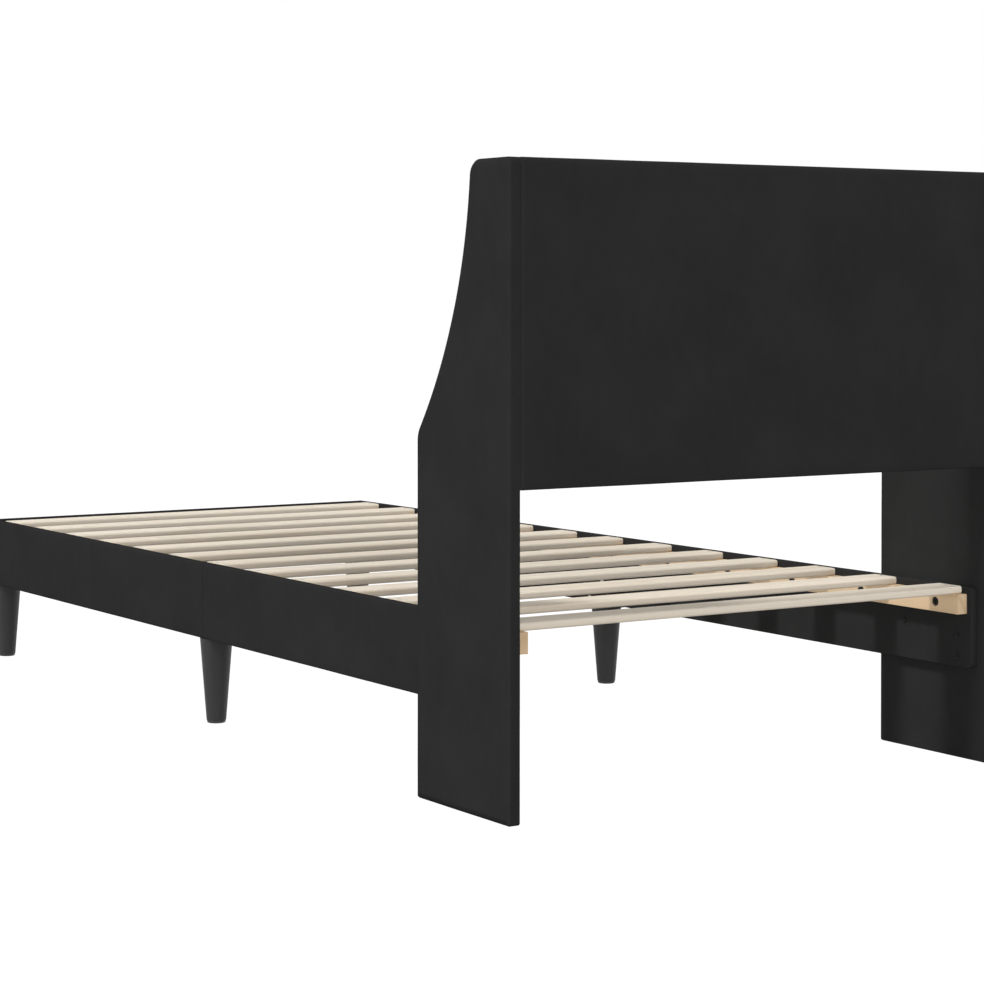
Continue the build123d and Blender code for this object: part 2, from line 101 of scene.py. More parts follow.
def new_effect(name, inputs):
    """Starts a node group that puts out a colour, a roughness and a height."""
    group = bpy.data.node_groups.new(name, "ShaderNodeTree")
    kinds = {1: "NodeSocketFloat", 3: "NodeSocketVector", 4: "NodeSocketColor"}
    for title, value in inputs.items():
        size = len(value) if isinstance(value, tuple) else 1
        socket = group.interface.new_socket(title, in_out="INPUT", socket_type=kinds[size])
        socket.default_value = value
    for title, size in (("Colour", 4), ("Roughness", 1), ("Height", 1)):
        group.interface.new_socket(title, in_out="OUTPUT", socket_type=kinds[size])
    given = group.nodes.new("NodeGroupInput").outputs
    place = shader_node(group, "TexCoord").outputs["Object"]
    return group, given, place


def close_effect(group, colour, roughness, height):
    """Links the three results to the group's outputs."""
    end = group.nodes.new("NodeGroupOutput")
    for title, value in (("Colour", colour), ("Roughness", roughness), ("Height", height)):
        feed(group, end.inputs[title], value)


def new_material(name, group, values, bump, depth, **shader_values):
    """A material with one effect; bump is its relief's strength and depth its height in metres."""
    material = bpy.data.materials.new(name)
    material.use_nodes = True
    tree = material.node_tree
    surface = tree.nodes["Principled BSDF"]
    effect = shader_node(tree, "Group", node_tree=group)
    for title, value in values.items():
        effect.inputs[title].default_value = value
    relief = {"Strength": bump, "Distance": depth, "Height": effect.outputs["Height"]}
    feed(tree, surface.inputs["Base Color"], effect.outputs["Colour"])
    feed(tree, surface.inputs["Roughness"], effect.outputs["Roughness"])
    feed(tree, surface.inputs["Normal"], shader_node(tree, "Bump", relief).outputs["Normal"])
    for title, value in shader_values.items():
        surface.inputs[title.replace("_", " ")].default_value = value
    return material


def finish_nodes(material, *names):
    """Gives CAD nodes their finish."""
    for name in names:
        cad_nodes[name].material_slots[0].material = material


chips, given, place = new_effect("pressed chips", {
    "Chip": (0.5, 0.4, 0.3, 1), "Glue": (0.3, 0.2, 0.1, 1), "Chip count": 300.0})
flakes = shader_node(chips, "TexVoronoi", {"Vector": place, "Scale": given["Chip count"]})
flake_tone = shader_node(chips, "SeparateColor", {0: flakes.outputs["Color"]}).outputs[0]
flake_edge = reckon(chips, "MULTIPLY", flakes.outputs["Distance"], 0.7)
chip_colour = mix_colours(chips, flake_tone, given["Chip"], given["Glue"])
close_effect(chips, shade(chips, chip_colour, reckon(chips, "SUBTRACT", 1.1, flake_edge)),
             vary(chips, flake_tone, 0.7, 0.2), flake_edge)

BOARD = {"Chip": (0.60, 0.46, 0.30, 1), "Glue": (0.38, 0.26, 0.15, 1), "Chip count": 320.0}
board_finish = new_material("pressed board", chips, BOARD, bump=0.4, depth=0.0004)
finish_nodes(board_finish, "wing_left_board", "wing_right_board")


# Wing wadding: a thin sheet of polyester fibre wrapped round each wing board under the
# cover. It takes the sharpness off the sawn edges and lies flat on the faces.

WING_DEPTH = 0.259
WING_TOP_DEPTH = 0.1075
WING_FOOT = 0.0003
WING_SHOULDER = 0.571
WING_TOP = 0.990
WING_BACK = 1.035
WING_HOLLOW_RADIUS = 0.764
HOLLOW_START, HOLLOW_END = 0.035, 0.94
FOOT_CORNER, SHOULDER_CORNER, TOP_CORNER, BACK_CORNER = 0.0045, 0.039, 0.025, 0.008
WING_INNER, WING_OUTER = 0.4695, 0.4885
WING_RIM = 0.002
SIDES = (("left", -1), ("right", 1))
HOLLOW_POINTS = 26
CLOTH = 0.001
WADDING = 0.0015
ARC_STEPS = 8
RIM_STEPS = 5
SLACK = 0.0002
SLACK_WAVES = 9
LIP_SLOPE = 0.1


def hollow_edge(start, end):
    """Points on the hollow front edge, leaving out its ends, which the round corners take."""
    chord = end - start
    half = chord.length / 2
    front = Vector((-chord.y, chord.x)).normalized()
    centre = (start + end) / 2 + front * math.sqrt(WING_HOLLOW_RADIUS ** 2 - half ** 2)
    begin = start - centre
    sweep = 2 * math.asin(half / WING_HOLLOW_RADIUS)
    points = []
    for index in range(HOLLOW_POINTS):
        share = HOLLOW_START + (HOLLOW_END - HOLLOW_START) * index / (HOLLOW_POINTS - 1)
        turn = Matrix.Rotation(sweep * share, 2)
        points.append(centre + turn @ begin)
    return points


def rounded_outline(corners, radii):
    """The points of a closed outline, with an arc at each corner that has a radius."""
    points = []
    for index, radius in enumerate(radii):
        before, corner = corners[index - 1], corners[index]
        after = corners[(index + 1) % len(corners)]
        if not radius:
            points.append(corner)
            continue
        into, out = (corner - before).normalized(), (after - corner).normalized()
        turn = math.atan2(into.cross(out), into.dot(out))
        start = corner - into * radius * math.tan(abs(turn) / 2)
        centre = start + Vector((-into.y, into.x)) * math.copysign(radius, turn)
        for step in range(ARC_STEPS + 1):
            points.append(centre + Matrix.Rotation(turn * step / ARC_STEPS, 2) @ (start - centre))
    return points


def outward(points):
    """The direction that points out of a closed outline, at each of its points."""
    following = points[1:] + points[:1]
    side = math.copysign(1, sum(a.cross(b) for a, b in zip(points, following)))
    directions = []
    for before, here, after in zip(points[-1:] + points[:-1], points, following):
        run = (here - before).normalized() + (after - here).normalized()
        directions.append(Vector((run.y, -run.x)).normalized() * side)
    return directions


def grown(points, distance):
    """An outline moved out by a distance, or in by a negative one."""
    return [point + way * distance for point, way in zip(points, outward(points))]


def cut_places(low, high, cell, edge_cuts):
    """Where a sheet is cut across: evenly in the middle, and closer along its edges."""
    places = [low + step for step in edge_cuts] + [high - step for step in edge_cuts]
    margin = max(edge_cuts, default=0)
    count = max(1, round((high - low - 2 * margin) / cell))
    places += [low + margin + (high - low - 2 * margin) * index / count for index in range(1, count)]
    return sorted(set(places))


def cloth_sheet(outline, cell, edge_cuts):
    """A flat sheet with the given outline, cut into a grid so that it can swell."""
    sheet = bmesh.new()
    sheet.faces.new([sheet.verts.new((*point, 0)) for point in outline])
    for axis in (0, 1):
        across = Vector((1 - axis, axis, 0))
        low = min(point[axis] for point in outline)
        high = max(point[axis] for point in outline)
        for cut in cut_places(low, high, cell, edge_cuts):
            bmesh.ops.bisect_plane(sheet, geom=sheet.verts[:] + sheet.edges[:] + sheet.faces[:],
                                   dist=1e-5, plane_co=across * cut, plane_no=across)
    sheet.verts.index_update()
    return sheet


def edge_loop(sheet):
    """The vertices along a sheet's edge, in order."""
    start = next(vertex for vertex in sheet.verts if vertex.is_boundary)
    loop, here, came = [start], start, None
    while True:
        came = next(edge for edge in here.link_edges if edge.is_boundary and edge is not came)
        here = came.other_vert(here)
        if here is start:
            return loop
        loop.append(here)


def bridge(mesh, first, second):
    """Joins two rings of vertices with a band of faces."""
    count = len(first)
    for index in range(count):
        after = (index + 1) % count
        mesh.faces.new((first[index], first[after], second[after], second[index]))


def new_piece(name, mesh, material, stands_for):
    """Makes a smooth piece from a mesh, which rides on the frame and stands for a CAD node."""
    bmesh.ops.recalc_face_normals(mesh, faces=mesh.faces)
    data = bpy.data.meshes.new(name)
    mesh.to_mesh(data)
    mesh.free()
    data.shade_smooth()
    data.materials.append(material)
    piece = bpy.data.objects.new(name, data)
    bpy.context.scene.collection.objects.link(piece)
    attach(piece, "root")
    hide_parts(stands_for)
    return piece


def flat_face(u, v, away):
    """A face with no swell."""
    return 0.0


def wrapped_panel(outline, low, high, rim, put, rise=flat_face, cell=0.012, edge_cuts=(), lip=None):
    """The skin of a covered panel: two sheets, a rounded rim on each, and the edge between.

    low and high are its two faces, and rise says how far the high one swells, from a place
    on it and that place's distance from the edge. put turns a place on the panel into one on
    the bed. A lip leaves the low face open and turns the edge in by that much."""
    sheet = cloth_sheet(grown(outline, -rim), cell, edge_cuts)
    loop = edge_loop(sheet)
    border = [vertex.co.xy for vertex in loop]
    ways = outward(border)
    nearest = kdtree.KDTree(len(border))
    for index, point in enumerate(border):
        nearest.insert((*point, 0), index)
    nearest.balance()
    skin = bmesh.new()

    def stitch(u, v, w):
        spot = put(u, v, w)
        return skin.verts.new(spot + SLACK * noise.noise_vector(spot * SLACK_WAVES))

    def hem(reach, level):
        return [stitch(*(point + way * reach), level) for point, way in zip(border, ways)]

    edges = []
    for side, level, swell in ((-1, low, flat_face), (1, high, rise)):
        if side < 0 and lip is not None:
            turned_in = hem(rim - lip, level)
            ring = hem(rim, level + lip * LIP_SLOPE)
            bridge(skin, turned_in, ring)
            edges.append(ring)
            continue
        copies = []
        for vertex in sheet.verts:
            away = nearest.find(vertex.co)[2]
            u, v = vertex.co.xy
            copies.append(stitch(u, v, level + side * swell(u, v, away)))
        for face in sheet.faces:
            skin.faces.new([copies[vertex.index] for vertex in face.verts])
        ring = [copies[vertex.index] for vertex in loop]
        for step in range(1, RIM_STEPS + 1):
            angle = math.pi / 2 * step / RIM_STEPS
            further = hem(rim * math.sin(angle), level - side * (rim * (1 - math.cos(angle))))
            bridge(skin, ring, further)
            ring = further
        edges.append(ring)
    bridge(skin, *edges)
    sheet.free()
    return skin


def thicken(piece, name, thickness):
    """Gives a skin its thickness, on the inside."""
    layer = piece.modifiers.new(name, "SOLIDIFY")
    layer.thickness = thickness
    layer.offset = -1


def beside(side):
    """Turns a place on a panel that stands along the bed into one on the bed's right or left."""
    return lambda u, v, w: Vector((side * w, u, v))


def wing_outline():
    """The wing's side: foot, front, shoulder, hollow edge, top and back, as (y, z)."""
    front, top_front = WING_BACK - WING_DEPTH, WING_BACK - WING_TOP_DEPTH
    shoulder, top = Vector((front, WING_SHOULDER)), Vector((top_front, WING_TOP))
    hollow = hollow_edge(shoulder, top)
    corners = [Vector((WING_BACK, WING_FOOT)), Vector((front, WING_FOOT)), shoulder, *hollow, top,
               Vector((WING_BACK, WING_TOP))]
    radii = [FOOT_CORNER, FOOT_CORNER, SHOULDER_CORNER, *[0] * len(hollow), TOP_CORNER, BACK_CORNER]
    return rounded_outline(corners, radii)


fibres, given, place = new_effect("wadding fibres", {
    "Colour": (0.85, 0.85, 0.83, 1), "Fibre count": 900.0})
tangle = clouds(fibres, stretch(fibres, place, (1.0, 0.25, 1.0)), given["Fibre count"], detail=4.0)
tufts = clouds(fibres, place, scale=60.0, detail=3.0)
fluff = vary(fibres, tufts, reckon(fibres, "MULTIPLY", tangle, 0.4), 0.6)
close_effect(fibres, shade(fibres, given["Colour"], vary(fibres, fluff, 0.75, 0.4)),
             vary(fibres, tangle, 0.85, 0.1), fluff)
wadding_finish = new_material("wadding", fibres, {}, bump=0.6, depth=0.001, Sheen_Weight=0.3)

for side_name, side in SIDES:
    skin = wrapped_panel(grown(wing_outline(), -CLOTH), WING_INNER + CLOTH, WING_OUTER - CLOTH,
                         WING_RIM - CLOTH, beside(side), cell=0.02)
    wadding = new_piece(f"wing_{side_name}_wadding_wrap", skin, wadding_finish,
                        f"wing_{side_name}_wadding")
    thicken(wadding, "wadding", WADDING)


# Wing covers: black cloth with a short, brushed pile, sewn as a sleeve and pulled down over
# the wadding. It is taut on the faces and rolls over the rims, and the nap shows as faint
# clouds where it has been stroked.

WING_SWELL, WING_SWELL_REACH = 0.0003, 0.025
WING_TOP_DIP, WING_TOP_REACH = 0.0014, 0.007
THREAD_PITCH = 0.0009

cloth, given, place = new_effect("brushed cloth", {
    "Colour": (0.02, 0.02, 0.02, 1), "Clouding": 0.15, "Threads": 1500.0})
patches = clouds(cloth, place, scale=8.0, detail=4.0)
strokes = clouds(cloth, stretch(cloth, place, (1.0, 1.0, 0.5)), scale=55.0, detail=3.0)
pile = clouds(cloth, place, scale=1100.0, detail=2.0)
turns = shade(cloth, place, given["Threads"])
waves = shader_node(cloth, "VectorMath", {0: turns}, operation="SINE").outputs[0]
thread_x, thread_y, thread_z = shader_node(cloth, "SeparateXYZ", {0: waves}).outputs
weave = vary(cloth, thread_z, reckon(cloth, "MULTIPLY", thread_x, thread_y),
             reckon(cloth, "ADD", thread_x, thread_y))
nap = vary(cloth, strokes, reckon(cloth, "MULTIPLY", patches, 0.7), 0.3)
clouding = reckon(cloth, "MULTIPLY", reckon(cloth, "SUBTRACT", nap, 0.5), given["Clouding"])
speckle = reckon(cloth, "MULTIPLY", reckon(cloth, "SUBTRACT", pile, 0.5), 0.25)
tone = reckon(cloth, "ADD", 1.0, reckon(cloth, "ADD", clouding, speckle))
close_effect(cloth, shade(cloth, given["Colour"], tone), vary(cloth, patches, 0.92, -0.14),
             vary(cloth, weave, pile, 0.25))

BLACK = {"Colour": (0.0235, 0.0235, 0.0235, 1), "Clouding": 0.55, "Threads": 2 * math.pi / THREAD_PITCH}
cloth_finish = new_material("black brushed cloth", cloth, BLACK, bump=0.25, depth=0.0002,
                            Specular_IOR_Level=0.0)


def rolled_up(away, reach):
    """How far cloth has risen at a distance from an edge that holds it down, from 0 to 1."""
    return 1 - math.exp(-away / reach)


def wing_face(u, v, away):
    """A wing's cloth stands up a little from the rim, but less along the top, where it is pulled over."""
    swell = WING_SWELL * rolled_up(away, WING_SWELL_REACH)
    return swell + WING_TOP_DIP * rolled_up(WING_TOP - v, WING_TOP_REACH)


for side_name, side in SIDES:
    skin = wrapped_panel(wing_outline(), WING_INNER, WING_OUTER, WING_RIM, beside(side), wing_face,
                         cell=0.009)
    cover = new_piece(f"wing_{side_name}_sleeve", skin, cloth_finish,
                      f"wing_{side_name}_cover")
    thicken(cover, "cloth", CLOTH)


# Wing glides and inserts: two hard plastic discs are nailed into each wing's lower edge to
# keep the cloth off the floor. Six threaded steel inserts in each board take the bolts.

moulding, given, place = new_effect("moulded plastic", {
    "Colour": (0.02, 0.02, 0.02, 1), "Shine": 0.35, "Flow": (1.0, 1.0, 1.0)})
flow = clouds(moulding, stretch(moulding, place, given["Flow"]), scale=90.0, detail=3.0)
grit = clouds(moulding, place, scale=2600.0, detail=1.0)
close_effect(moulding, shade(moulding, given["Colour"], vary(moulding, flow, 0.85, 0.3)),
             vary(moulding, flow, given["Shine"], 0.12), grit)

plating, given, place = new_effect("plated steel", {"Colour": (0.6, 0.6, 0.58, 1), "Dullness": 0.35})
blooms = clouds(plating, place, scale=180.0, detail=4.0)
scuffs = clouds(plating, stretch(plating, place, (1.0, 1.0, 0.1)), scale=2400.0, detail=2.0)
close_effect(plating, shade(plating, given["Colour"], vary(plating, blooms, 0.8, 0.4)),
             vary(plating, scuffs, given["Dullness"], 0.15), scuffs)

GLIDE = {"Colour": (0.012, 0.012, 0.012, 1), "Shine": 0.38}
glide_finish = new_material("hard black plastic", moulding, GLIDE, bump=0.1, depth=0.0001)
zinc_finish = new_material("zinc plate", plating, {"Dullness": 0.3}, bump=0.1, depth=0.0001, Metallic=1.0)
finish_nodes(glide_finish, "wing_glides")
finish_nodes(zinc_finish, "wing_nuts")


# Headboard frame: sawn pine battens, glued and stapled to a ladder of top and bottom rails
# and three stiles. The two end stiles are drilled for the bolts into the wings.

timber, given, place = new_effect("timber", {
    "Pale": (0.7, 0.6, 0.5, 1), "Dark": (0.5, 0.4, 0.3, 1), "Grain": (2.0, 40.0, 40.0),
    "Rings": 9.0, "Ring share": 0.5, "Fibre share": 0.35, "Board": 0.0})
board_shift = shader_node(timber, "CombineXYZ", {
    0: reckon(timber, "MULTIPLY", given["Board"], 3.7),
    1: reckon(timber, "MULTIPLY", given["Board"], 5.3), 2: 1.7}).outputs[0]
sawn = shader_node(timber, "VectorMath", {0: stretch(timber, place, given["Grain"]), 1: board_shift},
                   operation="ADD").outputs[0]
fine_fibres = clouds(timber, stretch(timber, sawn, (1.0, 9.0, 9.0)), scale=1.0, detail=4.0)
growth = clouds(timber, stretch(timber, sawn, (0.35, 0.35, 0.35)), scale=0.45, detail=1.0)
ring_turns = reckon(timber, "MULTIPLY", given["Rings"], 2 * math.pi)
ring_wave = reckon(timber, "SINE", reckon(timber, "MULTIPLY", growth, ring_turns))
late_wood = reckon(timber, "POWER", vary(timber, ring_wave, 0.5, 0.5), 3.0)
board_tone = shader_node(timber, "TexWhiteNoise", {"W": given["Board"]},
                         noise_dimensions="1D").outputs["Value"]
ring_share = reckon(timber, "MULTIPLY", late_wood, given["Ring share"])
fibre_share = reckon(timber, "MULTIPLY", reckon(timber, "SUBTRACT", fine_fibres, 0.35), given["Fibre share"])
wood_share = reckon(timber, "ADD", ring_share, fibre_share)
wood_share = vary(timber, reckon(timber, "SUBTRACT", board_tone, 0.5), wood_share, 0.2)
close_effect(timber, mix_colours(timber, wood_share, given["Pale"], given["Dark"]),
             vary(timber, fine_fibres, 0.55, 0.25), vary(timber, late_wood, fine_fibres, -0.4))

ALONG_X, ALONG_Y, ALONG_Z = (2.0, 45.0, 45.0), (45.0, 2.0, 45.0), (45.0, 45.0, 2.0)
BATTEN_PALE, BATTEN_DARK = (0.70, 0.54, 0.35, 1), (0.52, 0.35, 0.19, 1)


def new_board(name, number, grain, pale, dark, rings=0.5, fibre=0.4):
    """The finish of one piece of timber; its number gives it grain of its own."""
    values = {"Pale": pale, "Dark": dark, "Grain": grain, "Board": float(number), "Ring share": rings,
              "Fibre share": fibre}
    return new_material(name, timber, values, bump=0.35, depth=0.0003, Specular_IOR_Level=0.12)


battens = (("top_rail", ALONG_X), ("bottom_rail", ALONG_X), ("left_stile", ALONG_Z),
           ("middle_stile", ALONG_Z), ("right_stile", ALONG_Z))
for number, (batten, grain) in enumerate(battens, start=1):
    finish_nodes(new_board(f"pine {batten}", number, grain, BATTEN_PALE, BATTEN_DARK), f"headboard_{batten}")


# Headboard boards: a thin hardboard is stapled to the front of the battens to carry the
# foam, and another to the back, so that the cloth behind lies flat.

HARDBOARD = {"Chip": (0.40, 0.27, 0.16, 1), "Glue": (0.32, 0.21, 0.12, 1), "Chip count": 900.0}
hardboard_finish = new_material("hardboard", chips, HARDBOARD, bump=0.15, depth=0.0002)
finish_nodes(hardboard_finish, "headboard_front_board", "headboard_back_board")


# Headboard foam: one slab of soft foam glued to the front board, its four edges rounded
# over so that the pad swells between them.

HEADBOARD_HALF = 0.4695
HEADBOARD_LOW, HEADBOARD_HIGH = 0.497, 0.990
HEADBOARD_CORNER = 0.003
PAD_BACK = 1.010
PAD_EDGE = 0.001
PAD_RISE = 0.014
PAD_BELLY = 0.003
PAD_BORDER = 0.036
PAD_ROUNDNESS = 2.6
PAD_RIM = 0.0004
PAD_CUTS = (0.0004, 0.0012, 0.003, 0.006, 0.010, 0.016, 0.024, 0.034)
FOAM_UNDER_COVER = 0.0025


def headboard_outline(inset):
    """The headboard's front as (x, z), drawn in by a covering."""
    half, low, high = HEADBOARD_HALF - inset, HEADBOARD_LOW + inset, HEADBOARD_HIGH - inset
    corners = [Vector((-half, low)), Vector((half, low)), Vector((half, high)), Vector((-half, high))]
    return rounded_outline(corners, [HEADBOARD_CORNER - inset] * 4)


def fullness(away):
    """How full the pad is at a distance from one of its edges, from 0 to 1."""
    share = min(max(away / PAD_BORDER, 0), 1)
    return (1 - (1 - share) ** PAD_ROUNDNESS) ** (1 / PAD_ROUNDNESS)


def pad_face(height, inset):
    """The height of the pad over its back: rounded at the edges and a little fuller in the middle."""
    half, low, high = HEADBOARD_HALF - inset, HEADBOARD_LOW + inset, HEADBOARD_HIGH - inset

    def rise(u, v, away):
        full = fullness(half - abs(u)) * fullness(min(v - low, high - v))
        belly = math.cos(math.pi / 2 * u / half) * math.sin(math.pi * (v - low) / (high - low))
        return full * height + PAD_BELLY * max(belly, 0) ** 0.5
    return rise


def facing_front(u, v, w):
    """Turns a place on the headboard into one on the bed; w runs towards the foot end."""
    return Vector((u, -w, v))


cells, given, place = new_effect("foam cells", {"Colour": (0.8, 0.74, 0.52, 1), "Cell count": 900.0})
foam_cells = shader_node(cells, "TexVoronoi", {"Vector": place, "Scale": given["Cell count"]})
bubbles = foam_cells.outputs["Distance"]
yellowing = clouds(cells, place, scale=12.0, detail=2.0)
close_effect(cells, shade(cells, given["Colour"], vary(cells, yellowing, 0.8, 0.35)),
             vary(cells, bubbles, 0.8, 0.15), bubbles)
foam_finish = new_material("soft foam", cells, {}, bump=0.5, depth=0.0005)

skin = wrapped_panel(headboard_outline(CLOTH), -PAD_BACK, -PAD_BACK + PAD_EDGE, PAD_RIM, facing_front,
                     pad_face(PAD_RISE - FOAM_UNDER_COVER, CLOTH), cell=0.016, edge_cuts=PAD_CUTS)
foam = new_piece("headboard_foam_pad", skin, foam_finish, "headboard_foam")


# Headboard front cover: the same cloth, drawn over the foam and round all four edges. Its
# face is let settle as real cloth does, so it swells a little and draws in at the corners.

HEADBOARD_SEAM = 1.0317
FRONT_RIM = 0.0006
SEAM_LIP = 0.004
SETTLE_FRAMES = 20
SETTLE_PRESSURE = 2.0
SETTLE_REACH = 0.006
HELD_SHARE = 0.6


def let_settle(piece, held, pressure, reach):
    """Lets a cover swell like cloth that is held at some vertices, none moving beyond reach."""
    pattern = [vertex.co.copy() for vertex in piece.data.vertices]
    piece.vertex_groups.new(name="held").add(held, 1.0, "REPLACE")
    settling = piece.modifiers.new("settling", "CLOTH")
    settling.settings.vertex_group_mass = "held"
    settling.settings.quality = 7
    settling.settings.mass = 0.3
    settling.settings.tension_stiffness = 30
    settling.settings.compression_stiffness = 30
    settling.settings.shear_stiffness = 20
    settling.settings.bending_stiffness = 1.5
    settling.settings.shrink_min = -0.006
    settling.settings.use_pressure = True
    settling.settings.uniform_pressure_force = pressure
    settling.settings.effector_weights.gravity = 0.15
    for number in range(1, SETTLE_FRAMES + 1):
        bpy.context.scene.frame_set(number)
    settled = piece.evaluated_get(bpy.context.evaluated_depsgraph_get()).to_mesh()
    places = [vertex.co.copy() for vertex in settled.vertices]
    piece.modifiers.remove(settling)
    bpy.context.scene.frame_set(1)
    for vertex, before, after in zip(piece.data.vertices, pattern, places):
        move = after - before
        if move.length > reach:
            move *= reach / move.length
        vertex.co = before + move


skin = wrapped_panel(headboard_outline(0), -HEADBOARD_SEAM, -PAD_BACK, FRONT_RIM, facing_front,
                     pad_face(PAD_RISE, 0), cell=0.010, edge_cuts=PAD_CUTS, lip=SEAM_LIP)
front_cover = new_piece("headboard_front_sleeve", skin, cloth_finish, "headboard_front_cover")
front_line = PAD_BACK - PAD_RISE * HELD_SHARE
still = [vertex.index for vertex in front_cover.data.vertices if vertex.co.y > front_line]
let_settle(front_cover, still, SETTLE_PRESSURE, SETTLE_REACH)
thicken(front_cover, "cloth", CLOTH)


# Headboard back cover: a plain panel of the same cloth over the back board, its edges
# turned under and sewn to the front cover all round.

HEADBOARD_BACK = 1.035
BACK_RIM = 0.0025
BACK_ROLL, BACK_ROLL_REACH = 0.0012, 0.003
BACK_SWELL, BACK_SWELL_REACH = 0.0004, 0.02
BACK_CUTS = (0.0008, 0.002, 0.0036, 0.006, 0.010, 0.018)


def back_face(u, v, away):
    """The back cloth rolls up from its sewn edge and lies almost flat beyond it."""
    return BACK_ROLL * rolled_up(away, BACK_ROLL_REACH) + BACK_SWELL * rolled_up(away, BACK_SWELL_REACH)


def across_bed(u, v, w):
    """Turns a place on a panel that stands across the bed into one on the bed."""
    return Vector((u, w, v))


skin = wrapped_panel(headboard_outline(0), HEADBOARD_SEAM, HEADBOARD_BACK, BACK_RIM, across_bed, back_face,
                     cell=0.012, edge_cuts=BACK_CUTS, lip=SEAM_LIP)
back_cover = new_piece("headboard_back_panel", skin, cloth_finish, "headboard_back_cover")
thicken(back_cover, "cloth", CLOTH)


# Side rails: two particle boards to each side, butted over the middle leg. Each half is
# wrapped in the cloth on its own, so a narrow upright seam shows where they meet.

RAIL_LOW, RAIL_HIGH = 0.156, 0.295
RAIL_INNER, RAIL_OUTER = 0.456, 0.4695
RAIL_RIM = 0.002
RAIL_CORNER, RAIL_HEAD_CORNER = 0.003, 0.012
RAIL_HEAD_END = 1.015
RAIL_JOINT = -0.007
RAIL_FOOT_END = -1.017
RAIL_ROLL, RAIL_ROLL_REACH = 0.0007, 0.0035
RAIL_CLEAR_OF_WING, RAIL_FADE = 0.02, 0.05
RAIL_CUTS = (0.001, 0.0025, 0.005, 0.009)


def rail_outline(first_end, second_end, first_radius, second_radius):
    """A rail's long side, with the radius of the corners at each of its ends."""
    corners = [Vector((first_end, RAIL_LOW)), Vector((first_end, RAIL_HIGH)),
               Vector((second_end, RAIL_HIGH)), Vector((second_end, RAIL_LOW))]
    return rounded_outline(corners, [first_radius, first_radius, second_radius, second_radius])


def rail_face(u, v, away):
    """A rail's outer cloth rolls up from its edges, so the seam shows, but is flat under the wing."""
    clear = min(max((WING_BACK - WING_DEPTH - RAIL_CLEAR_OF_WING - u) / RAIL_FADE, 0), 1)
    return RAIL_ROLL * rolled_up(away, RAIL_ROLL_REACH) * clear


halves = (("head", rail_outline(RAIL_HEAD_END, RAIL_JOINT, RAIL_HEAD_CORNER, RAIL_CORNER)),
          ("foot", rail_outline(RAIL_JOINT, RAIL_FOOT_END, RAIL_CORNER, RAIL_CORNER)))
for side_name, side in SIDES:
    for half_name, outline in halves:
        rail_name = f"rail_{side_name}_{half_name}"
        finish_nodes(board_finish, f"{rail_name}_board")
        skin = wrapped_panel(outline, RAIL_INNER, RAIL_OUTER, RAIL_RIM, beside(side), rail_face, cell=0.010,
                             edge_cuts=RAIL_CUTS)
        rail = new_piece(f"{rail_name}_sleeve", skin, cloth_finish, f"{rail_name}_cover")
        thicken(rail, "cloth", CLOTH)


# Foot rail: one more covered board, which closes the foot end between the side rails'
# outer faces and is screwed to the corner blocks from inside.

BED_FOOT = -1.035

finish_nodes(board_finish, "foot_rail_board")
skin = wrapped_panel(rail_outline(-RAIL_OUTER, RAIL_OUTER, RAIL_CORNER, RAIL_CORNER), BED_FOOT, RAIL_FOOT_END,
                     RAIL_RIM, across_bed, cell=0.010)
foot_rail = new_piece("foot_rail_sleeve", skin, cloth_finish, "foot_rail_cover")
thicken(foot_rail, "cloth", CLOTH)


# Bolts: black steel bolts with a six-sided socket. Three on each side draw the side rail
# against its wing, and three more draw the headboard's end stile against it.

BLACK_STEEL = {"Colour": (0.009, 0.009, 0.009, 1), "Dullness": 0.5}
black_steel_finish = new_material("black steel", plating, BLACK_STEEL, bump=0.1, depth=0.0001,
                                  Specular_IOR_Level=0.15)
finish_nodes(black_steel_finish, "rail_bolts", "headboard_bolts")


# Cleats: planed pine battens screwed along the inside of the side rails, under the ends of
# the slats. Each screw sits in a wide round sinking, so its head stays below the face.

CLEAT_PALE, CLEAT_DARK = (0.62, 0.46, 0.295, 1), (0.47, 0.32, 0.18, 1)
cleats = ("cleat_left_head", "cleat_left_foot", "cleat_right_head", "cleat_right_foot")
for number, cleat in enumerate(cleats, start=21):
    finish_nodes(new_board(f"planed pine {number}", number, ALONG_Y, CLEAT_PALE, CLEAT_DARK), cleat)


# Cleat screws: thick black screws with a flat head and a cross recess, twelve a side. They
# go through the cleat, the cloth and most of the rail's board.

SCREW_SIDES = 20
CORE_SHARE = 0.78
CROSS_POINTS = ((0.30, 1.0), (0.30, 0.30), (1.0, 0.30))
CROSS_TAPER = 0.6


def threaded(start, end, radius, pitch):
    """A screw's shank as (radius, height) pairs: a ridge for each turn of the thread."""
    turns = max(1, round((end - start) / pitch))
    points = []
    for turn in range(turns):
        height = start + (end - start) * turn / turns
        points += [(radius * CORE_SHARE, height), (radius, height + (end - start) * 0.5 / turns)]
    return points


